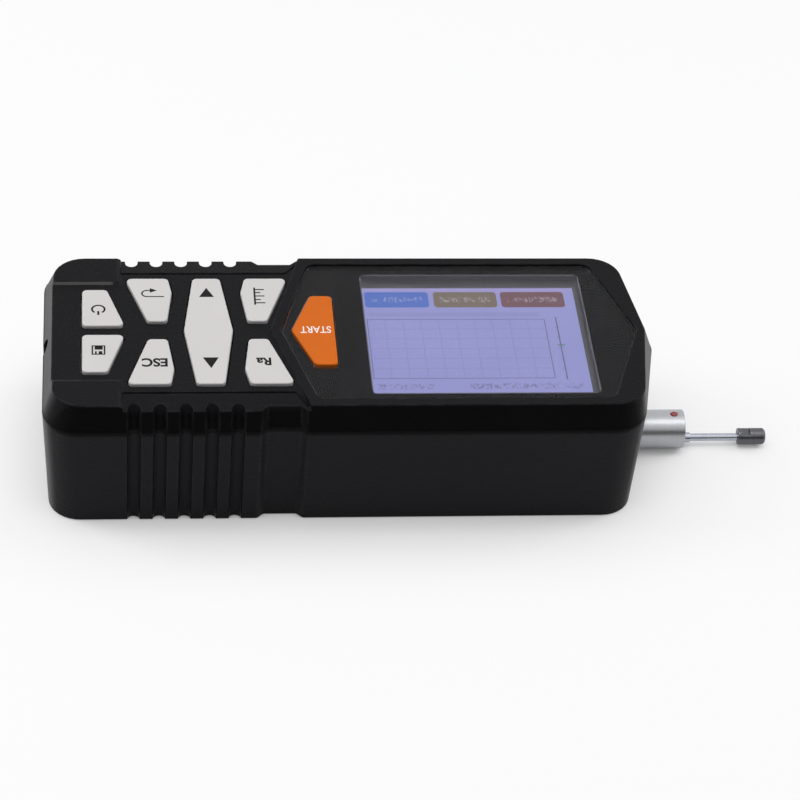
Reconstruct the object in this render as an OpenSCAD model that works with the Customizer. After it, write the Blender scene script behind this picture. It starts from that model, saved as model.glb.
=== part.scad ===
// Portable surface roughness tester: a drafted two-part plastic housing with a keypad and a
// display on top, and a motor-driven stylus pickup that reaches out of the right-hand end.
// X runs along the housing towards the pickup, Y across it, and Z=0 is the flat underside.

/* [Housing] */
// Length of the housing at the joint line of the two shells
body_l = 146; // [144:0.5:150]
// Width of the housing at the joint line
body_w = 61.6; // [61:0.2:64]
// Width of the flat underside
base_w = 52.8; // [52:0.2:56]
// Height from the underside to the rim
body_h = 36.5; // [36.2:0.1:38]
// Height of the leaning band from the joint line to the rim
band_h = 6.3; // [6:0.1:6.8]
// Wall thickness of both shells
wall = 2.6; // [2.4:0.1:2.9]
// Thickness of the floor
floor_t = 2.2; // [1.8:0.1:2.6]
// Radius of the upright corners at the joint line
corner_r = 8.2; // [7.6:0.1:8.6]
// Radius of the blunt point at the pickup end
nose_r = 6; // [5.2:0.1:6.4]
// How far the rim leans in from the joint line
rim_in = 2.35; // [1.8:0.05:2.6]
// How far the end walls lean in towards the underside
end_draft = 1; // [0.5:0.1:1.4]

/* [Grip] */
// Distance between grip grooves
groove_pitch = 6; // [5.4:0.1:6.2]
// Grooves on each side
groove_count = 5; // [3:1:5]
// Middle of the grooved stretch
grip_x = -39.9; // [-40.5:0.1:-39]
// Radius of a grip groove
groove_r = 1.5; // [1.3:0.1:1.7]
// Depth of a grip groove below the joint line
groove_depth = 1.2; // [0.8:0.1:1.4]
// Depth of a grip groove where it runs out at the top
groove_top = 2.4; // [1.6:0.1:2.4]
// Start of the waist channel on each side
waist_x0 = -22.6; // [-23:0.1:-22]
// End of the waist channel
waist_x1 = -11.8; // [-12.5:0.1:-11]
// Depth of the waist channel
waist_depth = 1.5; // [1:0.1:1.6]

/* [Top face] */
// Drop from the rim to the keypad plane
keypad_drop = 0.6; // [0.4:0.1:0.8]
// Thickness of the top wall below the keypad plane
top_wall = 2.3; // [2.1:0.1:2.5]
// Distance from the middle to the fold line of the side ledges
ledge_y = 22.9; // [22.4:0.1:23.2]
// Slope of the side ledges in degrees
ledge_slope = 6.5; // [5.5:0.5:8]
// End of the corner bumpers
bumper_x = -55.8; // [-56.2:0.1:-55]
// Inner edge of the corner bumpers
bumper_y = 18.2; // [17.5:0.1:19]
// Left point of the raised screen frame
frame_x = -19.4; // [-19.8:0.1:-19]
// Sideways rake of the frame's left edge, along X for each unit of Y
frame_rake = 0.285; // [0.26:0.005:0.29]

/* [Keypad] */
// Outer edge of the key rows
keys_out = 20.3; // [19.8:0.1:20.6]
// Inner edge of the key rows
keys_in = 3.4; // [3:0.1:3.8]
// Height of the keys above the keypad plane
key_rise = 0.6; // [0.6:0.1:1.2]
// Downward travel of a key
key_travel = 0.6; // [0.4:0.1:0.6]
// Gap around each key
key_gap = 0.3; // [0.2:0.05:0.35]
// Width of the flange that keeps a key in
key_flange = 0.8; // [0.6:0.1:0.9]
// Corner radius of a key
key_r = 1.2; // [0.8:0.1:1.3]
// Diameter of the rocker's pivot stubs
rocker_pin_d = 1.6; // [1.2:0.1:1.8]

/* [Display] */
// Middle of the display along the housing
display_x = 30.4; // [30.2:0.1:30.6]
// Length of the display module
display_l = 57; // [56:0.1:57.2]
// Width of the display module
display_w = 47.8; // [47.4:0.1:48]
// Thickness of the display module
display_t = 3.2; // [2.8:0.1:3.4]
// Length of the window under the lens
window_l = 54; // [52:0.1:54.4]
// Width of the window under the lens
window_w = 46.2; // [44:0.1:46.4]
// Thickness of the lens
lens_t = 1; // [0.8:0.1:1.1]
// How far the lens lies below the rim
lens_drop = 0.4; // [0.2:0.1:0.5]
// Gap around the lens
lens_gap = 0.2; // [0.15:0.05:0.3]
// Width of the rim beside the lens
lens_rim = 2.75; // [2.4:0.05:3]

/* [Drive] */
// Height of the lead screw and guide rods above the underside
drive_z = 14.1; // [14:0.1:14.5]
// Distance between the guide rods
rod_span = 18; // [17.6:0.1:18.4]
// Diameter of the guide rods
rod_d = 3; // [2.8:0.1:3.2]
// Diameter of the lead screw over its thread
screw_d = 4; // [3.6:0.1:4.2]
// Diameter of the lead screw's end journals
journal_d = 2.5; // [2:0.1:2.8]
// Radial running clearance of the shafts
run_gap = 0.03; // [0.02:0.005:0.05]
// Length of the carriage
carriage_l = 16; // [15:0.5:16.5]
// Stroke of the carriage
stroke = 17.5; // [10:0.5:17.5]
// Left face of the drive frame
frame_x0 = -6; // [-6.4:0.1:-5.6]
// Length of the drive frame
frame_l = 56; // [55:0.5:56.5]
// Thickness of the frame's end plates
plate_t = 3; // [2.5:0.1:3.2]
// Diameter of the motor
motor_d = 14; // [12:0.5:14.5]
// Length of the motor
motor_l = 18; // [14:0.5:18.5]
// Diameter of the gearbox
gearbox_d = 15; // [14.6:0.1:15.4]
// Length of the gearbox
gearbox_l = 12; // [10:0.5:12.5]

/* [Pickup] */
// Height of the pickup barrel's axis
barrel_z = 5.1; // [5:0.05:5.3]
// Diameter of the pickup barrel
barrel_d = 9.5; // [9.2:0.1:9.6]
// Wall of the pickup barrel
barrel_wall = 0.95; // [0.9:0.05:1]
// Front face of the pickup barrel, fully out
barrel_x1 = 83.6; // [82:0.1:85]
// Length of the pickup barrel
barrel_l = 51; // [50:0.1:51.4]
// Width of the bay that the pickup runs in
bay_w = 12; // [11.6:0.1:12.6]
// Drop from the barrel's axis to the probe tube
tube_drop = 2.8; // [2.7:0.05:2.85]
// Diameter of the probe tube
tube_d = 1.9; // [1.8:0.05:2]
// Bore of the probe tube
tube_bore = 1.2; // [1.1:0.05:1.3]
// Front end of the skid head, fully out
head_x1 = 104.6; // [103:0.1:106]
// Length of the skid head
head_l = 6.8; // [6.4:0.1:7.2]
// Diameter of the skid head
head_d = 4.1; // [3.9:0.1:4.3]

/* [Electronics] */
// Thickness of the main board
board_t = 1.6; // [1.2:0.1:1.6]
// Gap between the main board and the side walls
board_gap = 1.6; // [1.4:0.1:2]
// Length of the battery pack
battery_l = 24; // [18:0.5:26]
// Width of the battery pack
battery_w = 33; // [30:0.5:33]
// Height of the battery pack
battery_h = 18; // [14:0.5:18.5]
// Diameter of the hole for the charging plug
jack_d = 3.6; // [3.2:0.1:3.8]

/* [Fasteners] */
// Diameter of the case screws
case_screw_d = 2.5; // [2:0.1:2.6]
// Diameter of the small screws
small_screw_d = 2; // [1.8:0.1:2.2]
// Radial clearance of a screw in its hole
screw_gap = 0.15; // [0.1:0.05:0.2]

/* [Hidden] */
$fn = 48;
skin = 0.02;
past = 1;
far = 60;

joint_z = body_h - band_h;
keypad_z = body_h - keypad_drop;
ceil_z = keypad_z - top_wall;
key_top = keypad_z + key_rise;
flange_t = 0.9;
flange_gap = 0.3;
flange_top = ceil_z - flange_gap;
flange_z = flange_top - flange_t;
plunger_h = 1;
plunger_d = 2.5;
plunger_z = flange_z - plunger_h;
switch_gap = 0.3;
switch_top = plunger_z - key_travel - switch_gap;
switch_body = 1.1;
button_h = 0.4;
board_top = switch_top - switch_body - button_h;
board_z = board_top - board_t;
lens_z = body_h - lens_drop - lens_t;
lens_y = body_w / 2 - rim_in - lens_rim;
panel_z = ceil_z - display_t;

draft = atan((body_w - base_w) / 2 / joint_z);
band_tilt = atan(rim_in / (body_h - joint_z));
ceil_in = rim_in * (ceil_z - joint_z) / (body_h - joint_z);
nose_back = 12.7;
bumper_slope = 1.4;
rim_corner = 0.7;

// Key outlines for the far side, counter-clockwise seen from above
power_x = -63.8;
enter_x = -43.7;
rocker_x = -34;
units_x = -24.6;
start_x = -4;
power_in = 1.7;
power_out = 15.8;
power_long = 10.1;
power_short = 5.9;
side_short = 4.6;
side_long = 9.8;
side_bulge = 1.3;
side_bulge_y = 14.7;
side_nip = 0.5;
units_long = 10.2;
units_nip = 0.2;
rocker_half = 5.8;
rocker_tip = 3.3;
start_long = 10.3;
start_short = 5.3;
start_y = 13.3;
lens_x0 = -16.6;
lens_x1 = 68.6;
lens_rake = 7.4;
lens_taper = 8.5;
lens_r = 2.6;
power_outline = [[power_x, power_in], [power_x + power_long, power_in],
                 [power_x + power_short, power_out], [power_x, power_out]];
enter_outline = [[enter_x - side_short, keys_in], [enter_x, keys_in], [enter_x + side_bulge, side_bulge_y],
                 [enter_x + side_nip, keys_out], [enter_x - side_long, keys_out]];
units_outline = [[units_x, keys_in], [units_x + side_short, keys_in], [units_x + units_long, keys_out],
                 [units_x - units_nip, keys_out], [units_x - side_bulge, side_bulge_y]];
rocker_outline = [[rocker_x - rocker_half, 0], [rocker_x - rocker_tip, -keys_out],
                  [rocker_x + rocker_tip, -keys_out], [rocker_x + rocker_half, 0],
                  [rocker_x + rocker_tip, keys_out], [rocker_x - rocker_tip, keys_out]];
start_outline = [[start_x - start_long, 0], [start_x - start_short, -start_y], [start_x, -start_y],
                 [start_x, start_y], [start_x - start_short, start_y]];
lens_outline = [[lens_x0, 0], [lens_x0 + lens_rake, -lens_y], [lens_x1 - lens_taper, -lens_y],
                [lens_x1, 0], [lens_x1 - lens_taper, lens_y], [lens_x0 + lens_rake, lens_y]];

// Where each key presses its switch
power_spot = [power_x + 4.3, 8.7];
enter_spot = [enter_x - 2.9, 13];
units_spot = [units_x + 3.1, 13];
start_spot = [start_x - 4, 0];
rocker_spot = [rocker_x, 14.5];
paired_spots = [power_spot, enter_spot, units_spot, rocker_spot];
switch_spots = concat([start_spot], [for (p = paired_spots, s = [-1, 1]) [p[0], s * p[1]]]);
rocker_pin_l = 1.9;
rocker_z = flange_z - 0.2;
hub_y = 1.5;
lug_t = 1.6;
lug_gap = 0.4;

case_spots = [[-64, 20.5], [62.7, 17]];
case_post_r = 3.5;
case_head_d = 4.6;
case_head_h = 2;
case_seat_z = joint_z - 6.2;
insert_d = 3.8;
insert_l = 4;

board_x0 = -62;
board_x1 = 57;
board_y = base_w / 2 + (body_w - base_w) / 2 * board_z / joint_z - wall - board_gap;
board_boss_r = 2;
boss_gap = 0.4;
board_screw_l = 4;
board_boss_x = display_x - display_l / 2 - board_boss_r - boss_gap;
board_spots = [[-48, board_y - board_boss_r], [board_boss_x, board_y - board_boss_r]];
small_head_d = 3.8;
small_head_h = 1.6;
chip_places = [[14, -7, 12, 12, 1.3], [32, 6, 9, 6, 1], [-8, 8, 7, 7, 1], [-24, -6, 5, 4, 1.1],
               [44, -12, 6, 5, 1.4]];
buzzer_spot = [-34, 15];
buzzer_d = 9;
buzzer_h = 3;
tongue_x0 = -69;
tongue_y = 4.5;
jack_z = board_top + 2.2;

post_z = 6;
foot_t = 2;
foot_w = 8;
foot_l = 6;
frame_edge = 3.5;
frame_x1 = frame_x0 + frame_l;
frame_y = (rod_span + rod_d) / 2 + frame_edge;
drive_spots = [[frame_x0 - foot_l / 2, frame_y], [frame_x1 + foot_l / 2, frame_y]];
drive_post_r = 3.2;
drive_thread = 3.4;
bridge_gap = 0.7;
bridge_y = 8;
bridge_z = barrel_z + barrel_d / 2 + bridge_gap;
bush_d = 5;
rod_bush_d = 5;
rod_bush_l = 5;
nut_d = 7;
nut_flange_d = 8;
nut_flange_t = 2;
flag_h = 2.4;
flag_l = 2;
flag_w = 4;
switch_l = 6;
switch_w = 8;
limit_gap = 0.4;
limit_z = drive_z + nut_flange_d / 2 + limit_gap;
carriage_h = 8;
carriage_edge = 1;
carriage_z0 = drive_z - carriage_h / 2;
carriage_z1 = drive_z + carriage_h / 2;
roof_z = carriage_z1 + flag_h + limit_gap / 2;
roof_t = 1.4;
gearbox_screw_y = 4.6;
gearbox_screw_z = 3.5;
gearbox_screw_d = 1.6;
gearbox_thread = 3.8;
socket_l = 12;
carriage_x0 = barrel_x1 - barrel_l - socket_l;
carriage_x1 = carriage_x0 + carriage_l;
bay_end_gap = 0.9;
bay_x0 = carriage_x0 - stroke - bay_end_gap;
carriage_y = rod_span / 2 + rod_bush_d / 2 + carriage_edge;
flag_x = carriage_x0 + carriage_l / 2;

barrel_x0 = barrel_x1 - barrel_l;
bore_r = barrel_d / 2 - barrel_wall;
cap_t = 2;
tube_z = barrel_z - tube_drop;
head_x0 = head_x1 - head_l;
head_z = tube_z + 0.2;
nose_bevel = 0.5;
tube_seat = 2;
tip_x = head_x1 - 2.4;
tip_end_z = head_z - head_d / 2 - 0.15;
pivot_x = barrel_x1 - 10;
pivot_d = 0.6;
arm_d = 0.5;
arm_hub = 2.4;
plug_d = 5;
plug_l = 8;
plug_disc = 4;
dot_x = barrel_x1 - 2.6;
dot_d = 1.8;

pad_spot = [-56, 19.5];
pad_r = 2.6;
pad_z = floor_t + 2;
clip_t = 1;
clip_l = 8;
battery_x0 = -65.5;

shell_color = "#1d1e20";
key_color = "#e2dfdf";
steel = "#b9bcc0";

// Outward normal of the edge from a to b of a counter-clockwise outline
function edge_normal(a, b) = [b[1] - a[1], a[0] - b[0]] / norm(b - a);

// Counter-clockwise convex outline with every edge moved outward by d
function grown(p, d) = [for (i = [0 : len(p) - 1])
    let (n = len(p), b = p[i], u = edge_normal(p[(i + n - 1) % n], b), w = edge_normal(b, p[(i + 1) % n]))
    b + d * (u + w) / (1 + u * w)];

// The same outline with every corner rounded to radius r
function rounded(p, r, steps = 5) = [for (i = [0 : len(p) - 1], k = [0 : steps])
    let (n = len(p), b = p[i], u = edge_normal(p[(i + n - 1) % n], b), w = edge_normal(b, p[(i + 1) % n]),
         centre = b - r * (u + w) / (1 + u * w), turn = acos(min(1, u * w)),
         t = atan2(u[1], u[0]) + turn * k / steps)
    centre + r * [cos(t), sin(t)]];

// Both sides of the housing
module both_sides() for (s = [0, 1]) mirror([0, s, 0]) children();

// A shaft or hole along X
module rod_x(x0, x1, d, y, z) translate([x0, y, z]) rotate([0, 90, 0]) cylinder(d = d, h = x1 - x0);

// A block from one corner to the other
module block(a, b) translate(a) cube(b - a);

// A prism with a plan outline
module prism(outline, z0, z1) translate([0, 0, z0]) linear_extrude(z1 - z0) polygon(outline);

// A prism along X with a Y-Z outline
module prism_x(outline, x0, x1) translate([x0, 0, 0]) rotate([90, 0, 90]) linear_extrude(x1 - x0)
    polygon(outline);

// Thin slice of the housing: sides, ends and corner radius drawn in by the given amounts
module slice(side_in, end_in, r_in, z) {
    r = corner_r - r_in;
    translate([0, 0, z]) {
        both_sides() {
            translate([-body_l / 2 + end_in + r, body_w / 2 - side_in - r, 0])
                cylinder(r = r, h = skin, $fn = 32);
            translate([body_l / 2 - nose_back, body_w / 2 - side_in - r, 0])
                cylinder(r = r, h = skin, $fn = 32);
        }
        translate([body_l / 2 - nose_r, 0, 0])
            cylinder(r = nose_r - end_in, h = skin, $fn = 32);
    }
}

module lower_form() hull() {
    slice((body_w - base_w) / 2, end_draft, 0.5, 0);
    slice(0, 0, 0, joint_z - skin);
}

module lower_hollow() hull() {
    slice((body_w - base_w) / 2 + wall, end_draft + wall, 0.5 + wall, floor_t);
    slice(wall, wall, wall, joint_z);
}

module upper_form() hull() {
    slice(0, 0, 0, joint_z);
    slice(rim_in, rim_in, rim_corner, body_h - skin);
}

module upper_hollow() hull() {
    slice(wall, wall, wall, joint_z - skin);
    slice(ceil_in + wall, ceil_in + wall, wall + 1, ceil_z - skin);
}

// Frames of the drafted side wall and of the leaning band: Z runs up the face, Y points out of it
module on_wall() both_sides() translate([0, base_w / 2, 0]) rotate([-draft, 0, 0]) children();
module on_band() both_sides() translate([0, body_w / 2, joint_z]) rotate([band_tilt, 0, 0]) children();

// Section of a grip groove, round at the bottom and open to the outside
groove_section = concat([for (a = [180 : 15 : 360]) groove_r * [cos(a), 1 + sin(a)]],
                        [[groove_r, groove_r + 3 * past], [-groove_r, groove_r + 3 * past]]);

// Grip grooves and waist channel, cut along a face that is len high
module side_cuts(len, depth, top_depth) {
    for (i = [0 : groove_count - 1])
        translate([grip_x + (i - (groove_count - 1) / 2) * groove_pitch, -depth, 0])
            rotate([atan((top_depth - depth) / len), 0, 0])
                translate([0, 0, -past]) linear_extrude(len + 2 * past) polygon(groove_section);
    translate([0, 0, -past]) linear_extrude(len + 2 * past)
        polygon([[waist_x0 - past, past], [waist_x0 + waist_depth, -waist_depth],
                 [waist_x1 - waist_depth, -waist_depth], [waist_x1 + past, past]]);
}

// Everything left of the raised screen frame's edge
module left_of_frame() prism([[-far * 2, -far], [frame_x + frame_rake * far, -far], [frame_x, 0],
                              [frame_x + frame_rake * far, far], [-far * 2, far]], joint_z, far);

// Room above the keypad plane, between and behind the corner bumpers
module keypad_room() {
    prism_x([[-bumper_y, keypad_z], [bumper_y, keypad_z],
             [bumper_y + bumper_slope * 2, keypad_z + 2], [-bumper_y - bumper_slope * 2, keypad_z + 2]],
            -far * 2, bumper_x + 2);
    intersection() {
        left_of_frame();
        rotate([90, 0, 0]) linear_extrude(far * 2, center = true)
            polygon([[bumper_x + bumper_slope, keypad_z], [far, keypad_z], [far, keypad_z + 2],
                     [bumper_x - bumper_slope, keypad_z + 2]]);
    }
}

// Room above the sloping side ledges
module ledge_room() intersection() {
    left_of_frame();
    both_sides() prism_x([[ledge_y, keypad_z], [far, keypad_z - (far - ledge_y) * tan(ledge_slope)],
                          [far, far], [ledge_y, far]], bumper_x + bumper_slope, far);
}

// Fine groove along the fold of the ledge, turning out beside the screen frame
module fold_groove() both_sides() {
    groove_w = 0.6;
    turn_x = -14.7;
    turn_l = 5.4;
    turn_angle = 52;
    block([bumper_x + bumper_slope, ledge_y - groove_w / 2, keypad_z - groove_w],
          [turn_x, ledge_y + groove_w / 2, far]);
    translate([turn_x, ledge_y, keypad_z - groove_w]) rotate(turn_angle)
        translate([-groove_w / 4, -groove_w / 2, 0]) cube([turn_l, groove_w, past]);
}

// A plan outline cut through the top wall with the key gap around it
module key_hole(outline) prism(rounded(grown(outline, key_gap), key_r + key_gap), ceil_z - past, far);

module jack_hole() rod_x(-far * 2, -body_l / 2 + wall + 3 * past, jack_d + 0.2, 0, jack_z);

module lower_shell() color(shell_color) difference() {
    union() {
        difference() {
            lower_form();
            lower_hollow();
        }
        intersection() {
            lower_form();
            both_sides() {
                for (p = case_spots) translate(p) cylinder(r = case_post_r, h = joint_z);
                for (p = drive_spots) translate(p) cylinder(r = drive_post_r, h = post_z);
                translate(pad_spot) cylinder(r = pad_r, h = pad_z);
            }
        }
    }
    both_sides() {
        for (p = case_spots) translate([p[0], p[1], -past]) {
            cylinder(d = case_head_d + 0.4, h = case_seat_z + past);
            cylinder(d = case_screw_d + 2 * screw_gap, h = far);
        }
        for (p = drive_spots) translate([p[0], p[1], floor_t]) cylinder(d = small_screw_d, h = far);
        translate([pad_spot[0], pad_spot[1], past]) cylinder(d = small_screw_d, h = far);
    }
    on_wall() side_cuts(joint_z / cos(draft), groove_depth, groove_depth);
    block([bay_x0, -bay_w / 2, -past], [far * 2, bay_w / 2, barrel_z]);
    rod_x(bay_x0, far * 2, bay_w, 0, barrel_z);
    jack_hole();
}

module upper_shell() color(shell_color) difference() {
    union() {
        difference() {
            upper_form();
            upper_hollow();
        }
        both_sides() {
            for (p = case_spots) translate([p[0], p[1], joint_z])
                cylinder(r = case_post_r, h = ceil_z - joint_z + past);
            for (p = board_spots) translate([p[0], p[1], board_top])
                cylinder(r = board_boss_r, h = ceil_z - board_top + past / 2);
        }
        for (s = [-1, 1]) translate([rocker_x + s * (rocker_half + lug_gap + lug_t / 2), 0, 0])
            block([-lug_t / 2, -2, rocker_z - 1.6], [lug_t / 2, 2, ceil_z + past / 2]);
    }
    keypad_room();
    ledge_room();
    fold_groove();
    both_sides() for (outline = [power_outline, enter_outline, units_outline]) key_hole(outline);
    key_hole(rocker_outline);
    key_hole(start_outline);
    prism(rounded(grown(lens_outline, lens_gap), lens_r + lens_gap), lens_z, far);
    block([display_x - window_l / 2, -window_w / 2, ceil_z - past],
          [display_x + window_l / 2, window_w / 2, far]);
    on_band() side_cuts((body_h - joint_z) / cos(band_tilt), groove_depth, groove_top);
    both_sides() {
        for (p = case_spots) translate([p[0], p[1], joint_z - past])
            cylinder(d = insert_d, h = insert_l + past);
        for (p = board_spots) translate([p[0], p[1], board_top - past])
            cylinder(d = small_screw_d, h = past + board_screw_l + screw_gap);
    }
    rod_x(rocker_x - rocker_half - lug_gap - lug_t - past, rocker_x + rocker_half + lug_gap + lug_t + past,
          rocker_pin_d + 0.1, 0, rocker_z);
    jack_hole();
}

module window_lens() color("#2a2c30") difference() {
    prism(rounded(lens_outline, lens_r), lens_z, lens_z + lens_t);
    prism(rounded(grown(start_outline, key_gap), key_r + key_gap), lens_z - past, far);
}

module display_panel() color("#9d9dd6")
    block([display_x - display_l / 2, -display_w / 2, panel_z],
          [display_x + display_l / 2, display_w / 2, ceil_z]);

module display_tray() color("#3a3d42") difference() {
    tray_rim = 5;
    block([display_x - display_l / 2, -display_w / 2, board_top],
          [display_x + display_l / 2, display_w / 2, panel_z]);
    block([display_x - display_l / 2 + tray_rim, -display_w / 2 + tray_rim, board_top - past],
          [display_x + display_l / 2 - tray_rim, display_w / 2 - tray_rim, far]);
}

// A key cap on its flange, with the plunger that meets its switch
module key_cap(outline, spot) {
    prism(rounded(outline, key_r), flange_z, key_top);
    prism(rounded(grown(outline, key_flange), key_r), flange_z, flange_top);
    translate([spot[0], spot[1], plunger_z]) cylinder(d = plunger_d, h = plunger_h);
}

module power_key() color(key_color) key_cap(power_outline, power_spot);
module save_key() color(key_color) mirror([0, 1, 0]) key_cap(power_outline, power_spot);
module enter_key() color(key_color) key_cap(enter_outline, enter_spot);
module escape_key() color(key_color) mirror([0, 1, 0]) key_cap(enter_outline, enter_spot);
module units_key() color(key_color) key_cap(units_outline, units_spot);
module parameter_key() color(key_color) mirror([0, 1, 0]) key_cap(units_outline, units_spot);
module start_key() color("#e27424") key_cap(start_outline, start_spot);

module arrow_rocker() color(key_color) {
    prism(rounded(rocker_outline, key_r), flange_z + 0.4, key_top);
    block([rocker_x - rocker_half + key_gap, -hub_y, rocker_z - rocker_pin_d / 2],
          [rocker_x + rocker_half - key_gap, hub_y, flange_top]);
    rod_x(rocker_x - rocker_half - rocker_pin_l, rocker_x + rocker_half + rocker_pin_l,
          rocker_pin_d, 0, rocker_z);
    both_sides() translate([rocker_spot[0], rocker_spot[1], plunger_z - 0.2])
        cylinder(d = plunger_d, h = flange_top - plunger_z);
}

module tact_switches() color("#55585c") for (p = switch_spots) translate([p[0], p[1], board_top]) {
    translate([-2.25, -2.25, 0]) cube([4.5, 4.5, switch_body]);
    cylinder(d = 2, h = switch_body + button_h);
}

module main_board() color("#1f6b3a") difference() {
    union() {
        block([board_x0, -board_y, board_z], [board_x1, board_y, board_top]);
        block([tongue_x0, -tongue_y, board_z], [board_x0 + past, tongue_y, board_top]);
    }
    both_sides() {
        block([board_x0 - past, 16, board_z - past], [board_x0 + 3, far, far]);
        for (p = board_spots) translate([p[0], p[1], board_z - past])
            cylinder(d = small_screw_d + 2 * screw_gap, h = far);
    }
}

// A screw standing on its head: head below, shank above
module screw(d, head_d, head_h, shank_l) {
    translate([0, 0, -head_h]) cylinder(d = head_d, h = head_h);
    cylinder(d = d, h = shank_l);
}

module board_screws() color(steel) both_sides() for (p = board_spots)
    translate([p[0], p[1], board_z])
        screw(small_screw_d, small_head_d, small_head_h, board_t + board_screw_l);

module case_screws() color(steel) both_sides() for (p = case_spots)
    translate([p[0], p[1], case_seat_z]) screw(case_screw_d, case_head_d, case_head_h, 10);

module threaded_inserts() color("#c8a24a") both_sides() for (p = case_spots)
    translate([p[0], p[1], joint_z]) difference() {
        cylinder(d = insert_d, h = insert_l);
        translate([0, 0, -past]) cylinder(d = case_screw_d, h = far);
    }

// Packages on the underside of the main board
module chips() color("#202225")
    for (c = chip_places) translate([c[0], c[1], board_z - c[4]]) cube([c[2], c[3], c[4]]);

module buzzer() color("#26282b") translate([buzzer_spot[0], buzzer_spot[1], board_z - buzzer_h])
    cylinder(d = buzzer_d, h = buzzer_h);

module charge_jack() color("#141516") difference() {
    block([tongue_x0, -3.2, board_top], [tongue_x0 + 4, 3.2, board_top + 4.2]);
    rod_x(tongue_x0 - past, tongue_x0 + 3.2, jack_d - 0.4, 0, jack_z);
}

module battery_pack() color("#2f5f9e")
    block([battery_x0, -battery_w / 2, floor_t],
          [battery_x0 + battery_l, battery_w / 2, floor_t + battery_h]);

module battery_clip() color(steel) difference() {
    x0 = pad_spot[0] - clip_l / 2;
    x1 = pad_spot[0] + clip_l / 2;
    top = floor_t + battery_h;
    union() {
        block([x0, -battery_w / 2 - clip_t, top], [x1, battery_w / 2 + clip_t, top + clip_t]);
        both_sides() {
            block([x0, battery_w / 2, pad_z], [x1, battery_w / 2 + clip_t, top + clip_t]);
            block([x0, battery_w / 2, pad_z], [x1, pad_spot[1] + pad_r, pad_z + clip_t]);
        }
    }
    both_sides() translate([pad_spot[0], pad_spot[1], 0])
        cylinder(d = small_screw_d + 2 * screw_gap, h = pad_z + 2 * past);
}

module clip_screws() color(steel) both_sides() translate([pad_spot[0], pad_spot[1], pad_z + clip_t])
    rotate([180, 0, 0]) screw(small_screw_d, small_head_d - 0.4, small_head_h, clip_t + 2);

module drive_frame() color("#8d9196") difference() {
    union() {
        block([frame_x0, -frame_y, roof_z], [frame_x1, frame_y, roof_z + roof_t]);
        for (x = [frame_x0, frame_x1 - plate_t])
            block([x, -frame_y, post_z], [x + plate_t, frame_y, roof_z + past]);
        both_sides() for (x = [frame_x0 - foot_l, frame_x1 - past])
            block([x, frame_y - foot_w / 2, post_z],
                  [x + foot_l + past, frame_y + foot_w / 2, post_z + foot_t]);
    }
    block([frame_x0 - past, -bridge_y, 0], [frame_x1 + past, bridge_y, bridge_z]);
    both_sides() {
        rod_x(frame_x0 - past, frame_x1 + past, rod_d, rod_span / 2, drive_z);
        rod_x(frame_x0 - past, frame_x0 + plate_t + past, gearbox_screw_d + 2 * screw_gap,
              gearbox_screw_y, drive_z + gearbox_screw_z);
        for (p = drive_spots) translate([p[0], p[1], 0])
            cylinder(d = small_screw_d + 2 * screw_gap, h = roof_z - past);
    }
    rod_x(frame_x0 - past, frame_x1 + past, bush_d, 0, drive_z);
}

module drive_screws() color(steel) both_sides() for (p = drive_spots)
    translate([p[0], p[1], post_z + foot_t]) rotate([180, 0, 0])
        screw(small_screw_d, small_head_d, small_head_h, foot_t + drive_thread);

module guide_rods() color(steel) both_sides() rod_x(frame_x0, frame_x1, rod_d, rod_span / 2, drive_z);

module motor_gearbox() color("#a7abb0") difference() {
    rod_x(frame_x0 - gearbox_l, frame_x0, gearbox_d, 0, drive_z);
    rod_x(frame_x0 - 5.4, frame_x0 + past, journal_d + 2 * run_gap, 0, drive_z);
    both_sides() rod_x(frame_x0 - gearbox_thread - screw_gap, frame_x0 + past, gearbox_screw_d,
                       gearbox_screw_y, drive_z + gearbox_screw_z);
}

module drive_motor() color("#c2c5c9") {
    x1 = frame_x0 - gearbox_l;
    rod_x(x1 - motor_l, x1, motor_d, 0, drive_z);
    both_sides() block([x1 - motor_l - 1.6, 3, drive_z - 1], [x1 - motor_l + past, 3.4, drive_z + 1]);
}

module gearbox_screws() color(steel) both_sides() {
    seat = frame_x0 + plate_t;
    rod_x(seat, seat + 1.2, gearbox_screw_d + 1.2, gearbox_screw_y, drive_z + gearbox_screw_z);
    rod_x(seat - plate_t - gearbox_thread, seat, gearbox_screw_d,
          gearbox_screw_y, drive_z + gearbox_screw_z);
}

// A plain bush along X
module bush(x0, x1, od, id, y) difference() {
    rod_x(x0, x1, od, y, drive_z);
    rod_x(x0 - past, x1 + past, id, y, drive_z);
}

module screw_bushes() color("#c8a24a") for (x = [frame_x0, frame_x1 - plate_t])
    bush(x, x + plate_t, bush_d, journal_d + 2 * run_gap, 0);

module lead_screw() color(steel) {
    rod_x(frame_x0 - 5, frame_x1 - 0.4, journal_d, 0, drive_z);
    rod_x(frame_x0 + plate_t + 0.4, frame_x1 - plate_t - 0.4, screw_d, 0, drive_z);
}

module carriage() color("#33363a") difference() {
    union() {
        block([carriage_x0, -carriage_y, carriage_z0], [carriage_x1, carriage_y, carriage_z1]);
        block([flag_x - flag_l / 2, -flag_w / 2, carriage_z1 - past],
              [flag_x + flag_l / 2, flag_w / 2, carriage_z1 + flag_h]);
    }
    both_sides() rod_x(carriage_x0 - past, carriage_x1 + past, rod_bush_d, rod_span / 2, drive_z);
    rod_x(carriage_x0 - past, carriage_x1 + past, nut_d, 0, drive_z);
}

module drive_nut() color("#c8a24a") difference() {
    union() {
        rod_x(carriage_x0, carriage_x1, nut_d, 0, drive_z);
        rod_x(carriage_x1, carriage_x1 + nut_flange_t, nut_flange_d, 0, drive_z);
    }
    rod_x(carriage_x0 - past, carriage_x1 + nut_flange_t + past, screw_d + 2 * run_gap, 0, drive_z);
}

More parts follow.
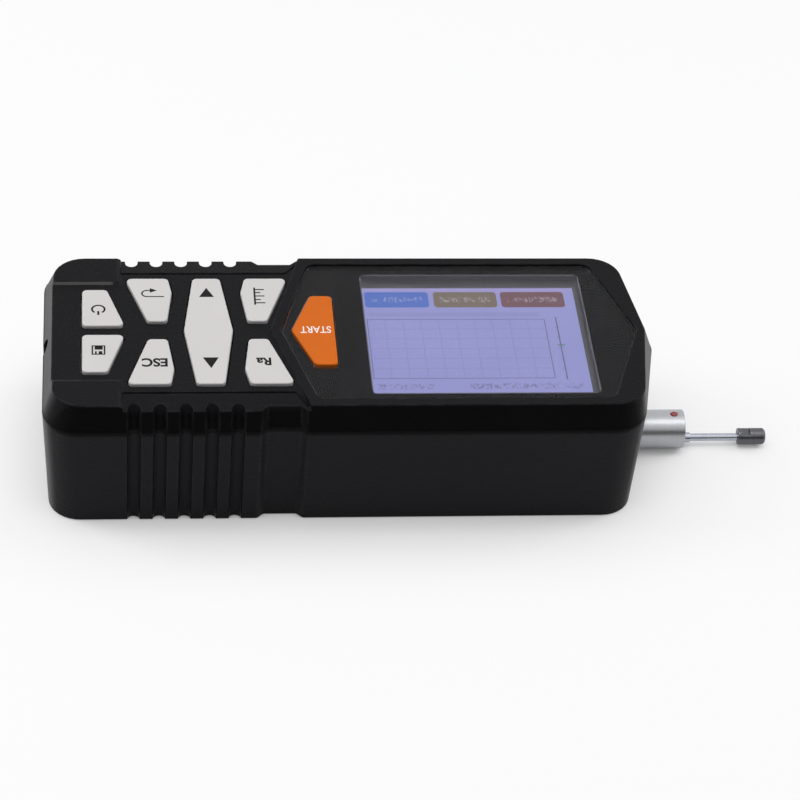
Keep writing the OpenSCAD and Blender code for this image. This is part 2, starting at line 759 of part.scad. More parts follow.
module rod_bushes() color("#c8a24a") both_sides() for (x = [carriage_x0, carriage_x1 - rod_bush_l])
    bush(x, x + rod_bush_l, rod_bush_d, rod_d + 2 * run_gap, rod_span / 2);

module limit_switches() color("#1c1d1f") {
    near_x = flag_x + flag_l / 2 + limit_gap;
    far_x = flag_x - flag_l / 2 - stroke - limit_gap;
    for (x = [near_x, far_x - switch_l])
        block([x, -switch_w / 2, limit_z], [x + switch_l, switch_w / 2, roof_z]);
}

module pickup_socket() color("#2b2d30") difference() {
    block([carriage_x0, -5, 0.8], [barrel_x0, 5, carriage_z0]);
    rod_x(barrel_x0 - plug_l, barrel_x0 + past, plug_d, 0, barrel_z);
}

module pickup_plug() color("#3a3c40") {
    rod_x(barrel_x0 - plug_l, barrel_x0, plug_d, 0, barrel_z);
    rod_x(barrel_x0, barrel_x0 + plug_disc, 2 * bore_r, 0, barrel_z);
}

module pickup_barrel() color("#c9ccd0") difference() {
    rod_x(barrel_x0, barrel_x1, barrel_d, 0, barrel_z);
    rod_x(barrel_x0 - past, barrel_x1 - cap_t, 2 * bore_r, 0, barrel_z);
    rod_x(barrel_x1 - cap_t - past, barrel_x1 + past, tube_d, 0, tube_z);
    translate([pivot_x, 0, tube_z]) rotate([90, 0, 0]) cylinder(d = pivot_d, h = far, center = true);
    translate([dot_x, 0, barrel_z]) cylinder(d = dot_d, h = far);
}

module index_dot() color("#b5231c") translate([dot_x, 0, barrel_z + bore_r - 0.2])
    cylinder(d = dot_d, h = barrel_wall + 0.3);

module sensor_coil() color("#7a4a22") {
    rod_x(pivot_x - 14, pivot_x - 11, 2 * bore_r, 0, barrel_z);
    block([pivot_x - 11 - past, -1.6, tube_z + 1.1], [pivot_x - 4, 1.6, barrel_z + 1]);
}

module probe_tube() color("#b4b7bb") difference() {
    rod_x(barrel_x1 - cap_t, head_x0 + tube_seat, tube_d, 0, tube_z);
    rod_x(barrel_x1 - cap_t - past, head_x0 + tube_seat + past, tube_bore, 0, tube_z);
}

module skid_head() color("#3b3d42") difference() {
    union() {
        rod_x(head_x0, head_x1 - nose_bevel, head_d, 0, head_z);
        translate([head_x1 - nose_bevel, 0, head_z]) rotate([0, 90, 0])
            cylinder(d1 = head_d, d2 = head_d - 2 * nose_bevel, h = nose_bevel);
    }
    rod_x(head_x0 - past, head_x0 + tube_seat, tube_d, 0, tube_z);
    rod_x(head_x0 - past, tip_x + 1, tube_bore, 0, tube_z);
    translate([tip_x, 0, -past]) cylinder(d = 1.4, h = tube_z + past);
    block([head_x0 + 0.9, -far, head_z + head_d / 2 - 0.7], [head_x0 + 2.9, far, far]);
}

module pivot_pin() color(steel) translate([pivot_x, 0, tube_z]) rotate([90, 0, 0])
    cylinder(d = pivot_d, h = 7.2, center = true);

module stylus_arm() color("#9a9da1") difference() {
    union() {
        rod_x(pivot_x - 9, tip_x, arm_d, 0, tube_z);
        block([pivot_x - 9, -1, tube_z - 0.3], [pivot_x - 4, 1, tube_z + 0.3]);
        translate([pivot_x, 0, tube_z]) rotate([90, 0, 0])
            cylinder(d = 2 * pivot_d, h = arm_hub, center = true);
        block([tip_x - 0.4, -0.3, tube_z - 0.35], [tip_x + 0.4, 0.3, tube_z + 0.25]);
    }
    translate([pivot_x, 0, tube_z]) rotate([90, 0, 0])
        cylinder(d = pivot_d + 2 * run_gap, h = 2 * arm_hub, center = true);
}

module stylus_tip() color("#202022") translate([tip_x, 0, tip_end_z]) {
    cylinder(d1 = 0.06, d2 = 0.44, h = 0.5);
    translate([0, 0, 0.5]) cylinder(d = 0.44, h = tube_z - 0.35 - tip_end_z - 0.5);
}

lower_shell();
upper_shell();
window_lens();
display_panel();
display_tray();
power_key();
save_key();
enter_key();
escape_key();
arrow_rocker();
units_key();
parameter_key();
start_key();
tact_switches();
main_board();
board_screws();
chips();
buzzer();
charge_jack();
battery_pack();
battery_clip();
clip_screws();
case_screws();
threaded_inserts();
drive_frame();
drive_screws();
guide_rods();
drive_motor();
motor_gearbox();
gearbox_screws();
screw_bushes();
lead_screw();
carriage();
drive_nut();
rod_bushes();
limit_switches();
pickup_socket();
pickup_plug();
pickup_barrel();
index_dot();
sensor_coil();
probe_tube();
skid_head();
pivot_pin();
stylus_arm();
stylus_tip();
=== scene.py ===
"""Looks of a portable surface roughness tester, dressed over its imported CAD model.

The housing, keys and pickup are softened copies of their CAD nodes. The lens, its gasket, the key
signs, the screws, the tube's collar and the lead screw are made here. Sizes of the part are in
millimetres, and mm() turns them into metres. The stage, lights and camera are in metres.
"""

import math

import bmesh
import bpy
from mathutils import Matrix, Vector


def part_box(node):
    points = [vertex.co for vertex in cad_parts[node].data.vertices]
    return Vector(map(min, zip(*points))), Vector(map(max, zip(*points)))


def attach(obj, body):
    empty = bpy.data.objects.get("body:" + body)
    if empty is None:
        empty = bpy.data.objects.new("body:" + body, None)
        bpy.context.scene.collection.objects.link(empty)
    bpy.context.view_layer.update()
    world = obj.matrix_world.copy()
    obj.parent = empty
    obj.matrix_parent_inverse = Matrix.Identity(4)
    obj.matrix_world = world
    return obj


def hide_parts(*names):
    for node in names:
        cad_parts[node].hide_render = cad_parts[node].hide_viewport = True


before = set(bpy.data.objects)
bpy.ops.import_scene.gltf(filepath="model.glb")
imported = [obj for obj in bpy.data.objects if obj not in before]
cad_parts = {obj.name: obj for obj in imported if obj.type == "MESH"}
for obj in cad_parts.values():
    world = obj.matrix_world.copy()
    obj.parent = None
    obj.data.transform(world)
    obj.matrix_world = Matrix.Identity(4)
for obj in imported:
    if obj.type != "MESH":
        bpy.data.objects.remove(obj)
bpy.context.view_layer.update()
scene = bpy.context.scene
scene.view_settings.view_transform = "Standard"

# Sizes shared with the CAD model
KEY_TOP = 36.5
LENS_Z = 35.1
LENS_T = 1.0
LENS_OUTLINE = [(-16.6, 0), (-9.2, -25.7), (60.1, -25.7), (68.6, 0), (60.1, 25.7), (-9.2, 25.7)]
START_HOLE = [(-14.62, 0), (-9.51, -13.6), (-3.7, -13.6), (-3.7, 13.6), (-9.51, 13.6)]
WINDOW = [(3.4, -23.1), (57.4, -23.1), (57.4, 23.1), (3.4, 23.1)]
DISPLAY_TOP = 33.6
DRIVE_Z = 14.1
TUBE_Z = 2.3

# Ends of the steel collar at the root of the probe tube, and its diameter
COLLAR_X = (83.6, 85.7)
COLLAR_D = 2.6

# Hole of the foam gasket that lines the window, and its clearance above and below
FOAM_HOLE = [(3.7, -22.85), (57.1, -22.85), (57.1, 22.85), (3.7, 22.85)]
FOAM_GAP = 0.02

# Thickness of print, how far the key tops sink to leave room for it, and the air under the lens
PRINT_T = 0.02
PRINT_SINK = 0.03
LENS_GAP = 0.1

# Edges at a larger angle than these, in degrees, are rounded, or left sharp in smooth shading
ROUND_ANGLE = 28
CREASE_ANGLE = 34


def mm(value):
    """Millimetres as metres."""
    return value * 0.001


def screen_colour(red, green, blue):
    """A colour as it looks on a screen, 0 to 255, as the linear colour that a socket takes."""

    def linear(level):
        level = level / 255
        if level <= 0.04045:
            return level / 12.92
        return ((level + 0.055) / 1.055) ** 2.4

    return (linear(red), linear(green), linear(blue), 1.0)


class Value:
    """A shader socket in a Python expression: each operator adds one Math node."""

    def __init__(self, nodes, socket):
        self.nodes = nodes
        self.socket = socket

    def maths(self, operation, first, second):
        return self.nodes.node("ShaderNodeMath", {"operation": operation}, {0: first, 1: second})

    def __add__(self, other):
        return self.maths("ADD", self, other)

    __radd__ = __add__

    def __sub__(self, other):
        return self.maths("SUBTRACT", self, other)

    def __rsub__(self, other):
        return self.maths("SUBTRACT", other, self)

    def __mul__(self, other):
        return self.maths("MULTIPLY", self, other)

    __rmul__ = __mul__

    def __mod__(self, other):
        return self.maths("FLOORED_MODULO", self, other)

    def __pow__(self, other):
        return self.maths("POWER", self, other)

    def __or__(self, other):
        return self.maths("MAXIMUM", self, other)

    def __abs__(self):
        return self.maths("ABSOLUTE", self, 0.0)


class Nodes:
    """A node tree whose nodes all come from one method."""

    def __init__(self, tree):
        self.tree = tree
        tree.nodes.clear()

    def node(self, kind, settings=None, inputs=None, out=0):
        """Adds a node, sets its settings first and then its sockets, and returns one output."""
        made = self.tree.nodes.new(kind)
        for name, value in (settings or {}).items():
            setattr(made, name, value)
        for key, value in (inputs or {}).items():
            if isinstance(value, Value):
                self.tree.links.new(value.socket, made.inputs[key])
            else:
                made.inputs[key].default_value = value
        if not made.outputs:
            return None
        return Value(self, made.outputs[out])

    def mix(self, factor, first, second):
        """A colour between two colours."""
        return self.node("ShaderNodeMix", {"data_type": "RGBA"}, {0: factor, 6: first, 7: second}, 2)

    def seen(self):
        """1 for rays that come from the camera, a mirror or a pane, and 0 for rays that carry light."""
        camera = self.node("ShaderNodeLightPath", out="Is Camera Ray")
        glossy = self.node("ShaderNodeLightPath", out="Is Glossy Ray")
        through = self.node("ShaderNodeLightPath", out="Is Transmission Ray")
        return camera | glossy | through


class Finish(Nodes):
    """A procedural material on Object coordinates."""

    def __init__(self, name):
        self.material = bpy.data.materials.new(name)
        self.material.use_nodes = True
        super().__init__(self.material.node_tree)
        self.place = self.node("ShaderNodeTexCoord", out="Object")

    def axes(self):
        """The place on the part in millimetres, as three values."""
        return [self.part_of(self.place, axis) * 1000.0 for axis in "XYZ"]

    def part_of(self, vector, axis):
        """One axis of a vector."""
        return self.node("ShaderNodeSeparateXYZ", {}, {0: vector}, axis)

    def noise(self, scale, detail=2.0, stretch=(1, 1, 1)):
        """Soft noise from 0 to 1, with about that many blotches to the metre."""
        spot = self.node("ShaderNodeVectorMath", {"operation": "MULTIPLY"}, {0: self.place, 1: stretch})
        return self.node("ShaderNodeTexNoise", {}, {"Vector": spot, "Scale": scale, "Detail": detail})

    def grains(self, scale):
        """Distance from the middle of the nearest grain, 0 to about 1."""
        return self.node("ShaderNodeTexVoronoi", {}, {"Vector": self.place, "Scale": scale}, "Distance")

    def edge(self):
        """1 on the rounded edges that soften() marks, and 0 elsewhere."""
        return self.node("ShaderNodeAttribute", {"attribute_name": "edge"}, out="Fac")

    def ramp(self, value, low, high):
        """0 below low, 1 above high, and smooth between."""
        settings = {"interpolation_type": "SMOOTHSTEP"}
        inputs = {"Value": value, "From Min": low, "From Max": high}
        return self.node("ShaderNodeMapRange", settings, inputs, "Result")

    def band(self, value, low, high, soft=0.05):
        """1 between two limits, with soft borders."""
        return self.ramp(value, low - soft, low + soft) * (1 - self.ramp(value, high - soft, high + soft))

    def bump(self, height, depth):
        """The normal of a relief whose height runs from 0 to depth metres."""
        return self.node("ShaderNodeBump", {}, {"Height": height, "Distance": depth}, "Normal")

    def surface(self, inputs):
        """Ends the tree in a Principled shader and returns the material."""
        shader = self.node("ShaderNodeBsdfPrincipled", {}, inputs, "BSDF")
        self.node("ShaderNodeOutputMaterial", {}, {"Surface": shader})
        return self.material


# Finishes


def moulded_shell():
    """Black housing plastic with a fine grain and rubbed edges, painted shade on its side band, painted
    light below it.

    The ends and the inner slopes of the corner bumpers have a slight sheen.
    """
    look = Finish("moulded_shell")
    fine = look.noise(3600, 3) + 0.7 * look.noise(1250, 2)
    cloud = look.noise(46, 4)
    grain = look.ramp(look.noise(1700, 3), 0.4, 0.66)
    edge = look.edge() * look.ramp(look.noise(240, 3), 0.35, 0.7)
    along, across, height = look.axes()
    facing = look.node("ShaderNodeNewGeometry", out="Normal")
    endward = look.part_of(facing, "X")
    upward = look.part_of(facing, "Z")
    band_low, band_high = 29.3, 36.2
    # Painted light: the wall below the side band is painted paler.
    below = 1 - look.ramp(height, band_low - 0.5, band_low)
    # Painted shade: the outer side band, where it faces sideways, is painted near black.
    painted_shade_band = look.band(height, band_low, band_high, 0.15) * (1 - look.ramp(abs(upward), 0.42, 0.6))
    painted_shade_band = painted_shade_band * look.ramp(abs(across), 27, 28) * (1 - look.ramp(abs(endward), 0.55, 0.85))
    slope = look.band(abs(across), 18.3, 21.2, 0.1) * look.band(upward, 0.72, 0.92, 0.04)
    slope = slope * (1 - look.ramp(along, -57, -56))
    colour = look.mix(cloud, screen_colour(13, 13, 15), screen_colour(19, 19, 21))
    colour = look.mix(grain * 0.5, colour, screen_colour(27, 27, 30))
    colour = look.mix(below * 0.6, colour, screen_colour(36, 36, 39))
    colour = look.mix(painted_shade_band * 0.85, colour, screen_colour(1, 1, 2))
    colour = look.mix(edge * 0.4, colour, screen_colour(44, 44, 46))
    return look.surface({
        "Base Color": colour,
        "Roughness": 0.42 + 0.14 * cloud - 0.08 * edge,
        "Specular IOR Level": 0.06,
        "Coat Weight": 0.38 * look.ramp(abs(endward), 0.7, 0.95) + 0.32 * slope,
        "Coat Roughness": 0.3,
        "Normal": look.bump(fine + 0.5 * look.grains(1900), 0.00008),
    })


def key_plastic(name, colour, shade, rough):
    """Satin key plastic with painted shade down its sides, and smoother where fingers rub it."""
    look = Finish(name)
    height = look.axes()[2]
    # Painted shade: the keys darken down their sides towards the deck.
    low = 1 - look.ramp(height, KEY_TOP - 1.6, KEY_TOP - 0.35)
    cloud = look.noise(85, 3)
    tone = look.mix(low * 0.55 + 0.18 * cloud, colour, shade)
    return look.surface({
        "Base Color": tone,
        "Roughness": rough + 0.12 * cloud - 0.05 * look.edge(),
        "Specular IOR Level": 0.15,
        "Normal": look.bump(look.noise(2600, 2), 0.00003),
    })


def sign_ink(name, colour, worn):
    """Screen-printed ink, thinner in places."""
    look = Finish(name)
    thin = look.ramp(look.noise(900, 3), 0.45, 0.75)
    return look.surface({
        "Base Color": look.mix(thin * 0.35, colour, worn),
        "Roughness": 0.48 + 0.15 * thin,
        "Specular IOR Level": 0.1,
        "Normal": look.bump(look.noise(2600, 2), 0.00002),
    })


def lens_print():
    """Black print behind the lens, with a few pale specks of dust."""
    look = Finish("lens_print")
    cloud = look.noise(38, 5, (1, 2.2, 1))
    speck = look.ramp(look.noise(1500, 1), 0.74, 0.8)
    dusty = 0.5 * cloud + 0.3 * speck
    return look.surface({
        "Base Color": look.mix(dusty, screen_colour(8, 8, 10), screen_colour(24, 24, 27)),
        "Roughness": 0.4 + 0.2 * cloud,
        "Specular IOR Level": 0.0,
        "Normal": look.bump(look.noise(1200, 2), 0.00002),
    })


def clear_acrylic():
    """The clear lens, with an anti-glare coat and faint smears from handling."""
    look = Finish("clear_acrylic")
    smear = look.ramp(look.noise(38, 5, (1, 2.2, 1)), 0.45, 0.75)
    return look.surface({
        "Base Color": (0.96, 0.97, 0.98, 1.0),
        "Roughness": 0.12 + 0.05 * smear,
        "IOR": 1.15,
        "Transmission Weight": 1.0,
    })


def lit_screen():
    """The lit colour display: three tabs, a measuring grid, a level gauge and rows of small print."""
    look = Finish("lit_screen")
    x, y, _ = look.axes()
    y = y + 0.3
    lit = look.band(x, 3.7, 55.7) * look.band(y, -20.6, 19.9)
    picture = look.mix(look.noise(40, 3), screen_colour(142, 145, 212), screen_colour(156, 156, 220))
    picture = look.mix(look.ramp(y, 17, 20) * 0.5, picture, screen_colour(178, 158, 212))
    strip = look.band(x, 5, 46.5) * look.band(y, 8.6, 10.2, 0.3)
    picture = look.mix(strip * 0.5, picture, screen_colour(132, 134, 192))
    tabs = [
        (4.3, 19.9, screen_colour(58, 103, 200)),
        (21.1, 36.6, screen_colour(113, 95, 80)),
        (37.6, 53.2, screen_colour(106, 55, 70)),
    ]
    strokes = look.ramp(look.noise(2600, 1, (1, 0.4, 1)), 0.5, 0.58)
    strokes = strokes * look.ramp(look.noise(620, 1), 0.36, 0.4)
    for x0, x1, colour in tabs:
        across = abs(x - (x0 + x1) / 2) - (x1 - x0) / 2 + 1.0
        along = abs(y - 15.3) - 3.1 + 1.0
        corner = ((across | 0.0) ** 2.0 + (along | 0.0) ** 2.0) ** 0.5
        tab = 1 - look.ramp(corner, 0.9, 1.05)
        picture = look.mix(tab, picture, colour)
        words = look.band(y, 14.3, 16.3, 0.15) * look.band(x, x0 + 1.6, x1 - 1.6)
        picture = look.mix(words * strokes * 0.42, picture, screen_colour(206, 200, 216))
    inside = look.band(x, 4.4, 47.3) * look.band(y, -15.2, 7.5)
    columns = look.ramp(abs((x - 4.3) % 4.32 - 2.16), 1.94, 2.06)
    rows = look.ramp(abs((y + 15.2) % 3.78 - 1.89), 1.67, 1.79)
    dots = look.ramp(abs((x + y) % 1.2 - 0.6), 0.2, 0.36)
    grid = inside * (columns | rows) * dots
    picture = look.mix(grid * 0.4, picture, screen_colour(92, 94, 150))
    frame_x = abs(x - 25.85) - 21.5
    frame_y = abs(y + 3.85) - 11.35
    border = 1 - look.ramp(abs(frame_x | frame_y), 0.05, 0.16)
    picture = look.mix(border * 0.75, picture, screen_colour(58, 60, 108))
    gauge = look.band(x, 50.08, 50.34, 0.06) * look.band(y, -15.8, 8.2)
    ticks = look.band(x, 49.5, 50.9) * look.band(y, -15.8, 8.2)
    ticks = ticks * look.ramp(abs((y + 15.8) % 4.0 - 2.0), 1.86, 1.94)
    picture = look.mix(gauge * 0.9 | ticks * 0.5, picture, screen_colour(36, 42, 74))
    marker = look.band(x, 49.4, 51.2, 0.1) * look.band(y, -2.9, -2.3, 0.15)
    picture = look.mix(marker * 0.8, picture, screen_colour(70, 128, 98))
    small = look.band(y, -19.2, -17.2, 0.2) * (look.band(x, 5.0, 18.8) | look.band(x, 27.0, 53.6))
    picture = look.mix(small * strokes * 0.6, picture, screen_colour(84, 84, 124))
    pixel_columns = look.ramp(abs((x * 6.2) % 1.0 - 0.5), 0.4, 0.5)
    pixel_rows = look.ramp(abs((y * 6.2) % 1.0 - 0.5), 0.4, 0.5)
    picture = look.mix((pixel_columns | pixel_rows) * 0.05, picture, screen_colour(60, 60, 90))
    # Painted light: the unlit rim round the picture glows faintly with emission, as if lit.
    glow = look.mix(lit, screen_colour(52, 51, 57), picture)
    return look.surface({
        "Base Color": (0.02, 0.02, 0.022, 1.0),
        "Roughness": 0.3 + 0.1 * look.noise(200),
        "Emission Color": glow,
        "Emission Strength": 0.78,
    })


def turned_metal(name, colour, shade, rough, ring):
    """Metal turned on a lathe about X, with fine rings, or drawn along X where ring is low."""
    look = Finish(name)
    rings = look.noise(1.0, 3, (ring, 60, 60))
    cloud = look.noise(70, 3)
    return look.surface({
        "Base Color": look.mix(0.55 * rings + 0.3 * cloud, colour, shade),
        "Metallic": 1.0,
        "Roughness": rough + 0.12 * rings + 0.08 * cloud,
        "Normal": look.bump(rings, 0.00002),
    })


def plated_steel():
    """Zinc-plated screws and springs, with a slight yellow and blue cast."""
    look = Finish("plated_steel")
    cast = look.noise(300, 3)
    return look.surface({
        "Base Color": look.mix(cast, screen_colour(188, 189, 192), screen_colour(172, 170, 162)),
        "Metallic": 1.0,
        "Roughness": 0.26 + 0.18 * cast,
        "Normal": look.bump(look.noise(1800, 2), 0.00002),
    })


def dull_plastic(name, colour, lighter, rough=0.55):
    """Moulded inner parts with a soft grain and paler rubbed spots."""
    look = Finish(name)
    cloud = look.noise(160, 4)
    return look.surface({
        "Base Color": look.mix(cloud, colour, lighter),
        "Roughness": rough + 0.15 * cloud,
        "Specular IOR Level": 0.4,
        "Normal": look.bump(look.noise(2800, 2), 0.00004),
    })


def solder_mask():
    """Green circuit board with buried tracks, ground hatching and tinned pads."""
    look = Finish("solder_mask")
    x, y, _ = look.axes()
    bend = look.noise(90, 1) * 2.0
    tracks = look.ramp(abs((y + bend) % 1.3 - 0.65), 0.4, 0.48) * look.ramp(look.noise(60, 1), 0.42, 0.5)
    pads = look.ramp(abs(x % 5.2 - 2.6), 2.2, 2.3) * look.ramp(abs(y % 6.1 - 3.05), 2.6, 2.7)
    colour = look.mix(tracks, screen_colour(21, 84, 48), screen_colour(34, 112, 62))
    colour = look.mix(pads, colour, screen_colour(196, 196, 190))
    return look.surface({
        "Base Color": colour,
        "Metallic": pads,
        "Roughness": 0.28 + 0.1 * tracks,
        "Coat Weight": 0.5 - 0.5 * pads,
        "Normal": look.bump(tracks + pads, 0.00004),
    })


def shrink_wrap():
    """Blue shrink sleeve of the battery, with the creases of its cells."""
    look = Finish("shrink_wrap")
    crease = look.noise(110, 4, (1, 3, 3))
    return look.surface({
        "Base Color": look.mix(crease, screen_colour(32, 74, 138), screen_colour(52, 104, 172)),
        "Roughness": 0.24 + 0.16 * crease,
        "Normal": look.bump(crease, 0.0004),
    })


def wound_wire():
    """Enamelled copper wire wound about X, with painted shade in the grooves between turns."""
    look = Finish("wound_wire")
    x = look.axes()[0]
    # Painted shade: the grooves between turns, where this runs low, are painted darker copper.
    turns = look.ramp(abs(x % 0.24 - 0.12), 0.0, 0.12)
    return look.surface({
        "Base Color": look.mix(turns, screen_colour(94, 52, 28), screen_colour(176, 104, 58)),
        "Metallic": 0.8,
        "Roughness": 0.3 + 0.1 * look.noise(400),
        "Normal": look.bump(turns, 0.00008),
    })


def red_lacquer():
    """Red sealing lacquer, dabbed on by hand."""
    look = Finish("red_lacquer")
    dab = look.noise(1700, 3)
    return look.surface({
        "Base Color": look.mix(dab, screen_colour(128, 24, 16), screen_colour(172, 46, 30)),
        "Roughness": 0.22 + 0.25 * dab,
        "Coat Weight": 0.4,
        "Normal": look.bump(dab, 0.0002),
    })


SHELL = moulded_shell()
WHITE_KEY = key_plastic(
    "white_key_plastic", screen_colour(212, 209, 208), screen_colour(166, 162, 163), 0.4
)
ORANGE_KEY = key_plastic(
    "orange_key_plastic", screen_colour(214, 106, 22), screen_colour(150, 62, 12), 0.42
)
DARK_INK = sign_ink("dark_ink", screen_colour(20, 19, 20), screen_colour(52, 50, 51))
WHITE_INK = sign_ink("white_ink", screen_colour(250, 240, 234), screen_colour(238, 190, 150))
BARREL = turned_metal(
    "satin_barrel", screen_colour(188, 190, 193), screen_colour(150, 152, 156), 0.26, 9000
)
BRIGHT_STEEL = turned_metal(
    "bright_steel", screen_colour(188, 192, 201), screen_colour(146, 150, 162), 0.14, 300
)
GUNMETAL = turned_metal(
    "gunmetal", screen_colour(112, 112, 116), screen_colour(66, 67, 72), 0.26, 5000
)
BRASS = turned_metal(
    "turned_brass", screen_colour(206, 166, 88), screen_colour(172, 130, 62), 0.24, 8000
)
CAST = turned_metal(
    "milled_aluminium", screen_colour(190, 192, 195), screen_colour(160, 162, 166), 0.34, 1200
)
PLATED = plated_steel()
DARK_PLASTIC = dull_plastic("inner_plastic", screen_colour(30, 31, 33), screen_colour(46, 47, 49))
CHIP_PLASTIC = dull_plastic("chip_moulding", screen_colour(22, 22, 24), screen_colour(38, 38, 41), 0.62)
GREY_FOAM = dull_plastic("grey_foam", screen_colour(80, 79, 86), screen_colour(98, 97, 104), 0.8)
STONE = dull_plastic("polished_stone", screen_colour(20, 20, 22), screen_colour(60, 62, 66), 0.08)


# Pieces


def new_piece(name, mesh, body, slot, *stands_for):
    """Puts a finished mesh in the scene as a piece that rides on a CAD body."""
    piece = bpy.data.objects.new(name, mesh)
    scene.collection.objects.link(piece)
    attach(piece, body)
    if stands_for:
        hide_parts(*stands_for)


def dress(mesh, finish):
    """Gives a mesh one finish."""
    mesh.materials.clear()
    mesh.materials.append(finish)


def plain_mesh(source):
    """The mesh of an object with its modifiers applied, and the object removed."""
    graph = bpy.context.evaluated_depsgraph_get()
    mesh = bpy.data.meshes.new_from_object(source.evaluated_get(graph))
    bpy.data.objects.remove(source)
    return mesh


def smooth_faces(mesh):
    """Smooth shading, broken at sharp edges."""
    form = bmesh.new()
    form.from_mesh(mesh)
    for face in form.faces:
        face.smooth = True
    for rim in form.edges:
        rim.smooth = len(rim.link_faces) == 2 and rim.calc_face_angle() < math.radians(CREASE_ANGLE)
    form.to_mesh(mesh)
    form.free()


def level_shading(mesh):
    """The mesh with normals weighted by area, so that flat faces look flat beside rounded edges."""
    source = bpy.data.objects.new("level", mesh)
    scene.collection.objects.link(source)
    level = source.modifiers.new("level", "WEIGHTED_NORMAL")
    level.keep_sharp = True
    return plain_mesh(source)


def soften(node, body, slot, finish, width, segments=3, sink=0.0):
    """Adds a copy of a CAD node with its sharp edges rounded, which stands for that node.

    Its topmost face sinks by sink first. The finish fills two slots, and the second marks the
    rounded faces until their "edge" attribute is set.
    """
    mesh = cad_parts[node].data.copy()
    mesh.materials.clear()
    form = bmesh.new()
    form.from_mesh(mesh)
    bmesh.ops.remove_doubles(form, verts=form.verts[:], dist=mm(0.002))
    top = max(vert.co.z for vert in form.verts)
    for vert in form.verts:
        if vert.co.z > top - mm(0.01):
            vert.co.z -= mm(sink)
    bmesh.ops.dissolve_limit(
        form, angle_limit=math.radians(1), verts=form.verts[:], edges=form.edges[:]
    )
    form.to_mesh(mesh)
    form.free()
    source = bpy.data.objects.new(node + "_source", mesh)
    scene.collection.objects.link(source)
    mesh.materials.append(finish)
    mesh.materials.append(finish)
    for face in mesh.polygons:
        face.material_index = 0
    soft = source.modifiers.new("round_edges", "BEVEL")
    soft.width = mm(width)
    soft.segments = segments
    soft.limit_method = "ANGLE"
    soft.angle_limit = math.radians(ROUND_ANGLE)
    soft.use_clamp_overlap = False
    soft.material = 1
    low, high = [Vector(corner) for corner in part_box(node)]
    rounded = plain_mesh(source)
    for vert in rounded.vertices:
        vert.co = [min(max(vert.co[i], low[i]), high[i]) for i in range(3)]
    mark = rounded.attributes.new("edge", "FLOAT", "FACE")
    mark.data.foreach_set("value", [float(face.material_index == 1) for face in rounded.polygons])
    for face in rounded.polygons:
        face.material_index = 0
    rounded.materials.pop(index=1)
    smooth_faces(rounded)
    new_piece(node + "_soft", level_shading(rounded), body, slot, node)


def rod_mesh(x0, x1, diameter, height):
    """A plain round rod along X."""
    radius = mm(diameter / 2)
    form = bmesh.new()
    bmesh.ops.create_cone(
        form, cap_ends=True, segments=28, radius1=radius, radius2=radius, depth=mm(x1 - x0)
    )
    turn = Matrix.Rotation(math.pi / 2, 4, "Y")
    place = Matrix.Translation((mm((x0 + x1) / 2), 0, mm(height)))
    bmesh.ops.transform(form, matrix=place @ turn, verts=form.verts[:])
    mesh = bpy.data.meshes.new("rod")
    form.to_mesh(mesh)
    form.free()
    return mesh


def rounded_outline(points, radius, steps=6):
    """An outline with its corners rounded."""
    outline = []
    count = len(points)
    for i, point in enumerate(points):
        here = Vector(point)
        before = (Vector(points[i - 1]) - here).normalized()
        after = (Vector(points[(i + 1) % count]) - here).normalized()
        half = before.angle(after) / 2
        reach = radius / math.tan(half)
        centre = here + (before + after).normalized() * radius / math.sin(half)
        start = here + before * reach - centre
        turn = math.pi - 2 * half
        if before.x * after.y - before.y * after.x > 0:
            turn = -turn
        for step in range(steps + 1):
            angle = turn * step / steps
            c, s = math.cos(angle), math.sin(angle)
            outline.append((centre.x + start.x * c - start.y * s, centre.y + start.x * s + start.y * c))
    return outline


def plate(outlines, z0, z1, edge=0.0):
    """A flat plate between two heights. Outlines inside others are holes, and edge rounds its rim."""
    curve = bpy.data.curves.new("plate", "CURVE")
    curve.dimensions = "2D"
    curve.fill_mode = "BOTH"
    curve.extrude = mm((z1 - z0) / 2 - edge)
    curve.bevel_depth = mm(edge)
    curve.bevel_resolution = 2
    curve.offset = -mm(edge)
    for outline in outlines:
        line = curve.splines.new("POLY")
        line.points.add(len(outline) - 1)
        for point, (x, y) in zip(line.points, outline):
            point.co = (mm(x), mm(y), 0, 1)
        line.use_cyclic_u = True
    source = bpy.data.objects.new("plate", curve)
    scene.collection.objects.link(source)
    mesh = plain_mesh(source)
    mesh.transform(Matrix.Translation((0, 0, mm((z0 + z1) / 2))))
    return mesh


def sign(name, strokes, body):
    """Adds a sign printed on a key top. Each stroke is an outline with its holes."""
    top = KEY_TOP - PRINT_SINK
    form = bmesh.new()
    for stroke in strokes:
        form.from_mesh(plate(stroke, top - PRINT_T / 2, top + PRINT_T))
    mesh = bpy.data.meshes.new(name)
    form.to_mesh(mesh)
    form.free()
    for face in mesh.polygons:
        face.material_index = 0
    dress(mesh, DARK_INK)
    new_piece(name, mesh, body, "dark_plastic")


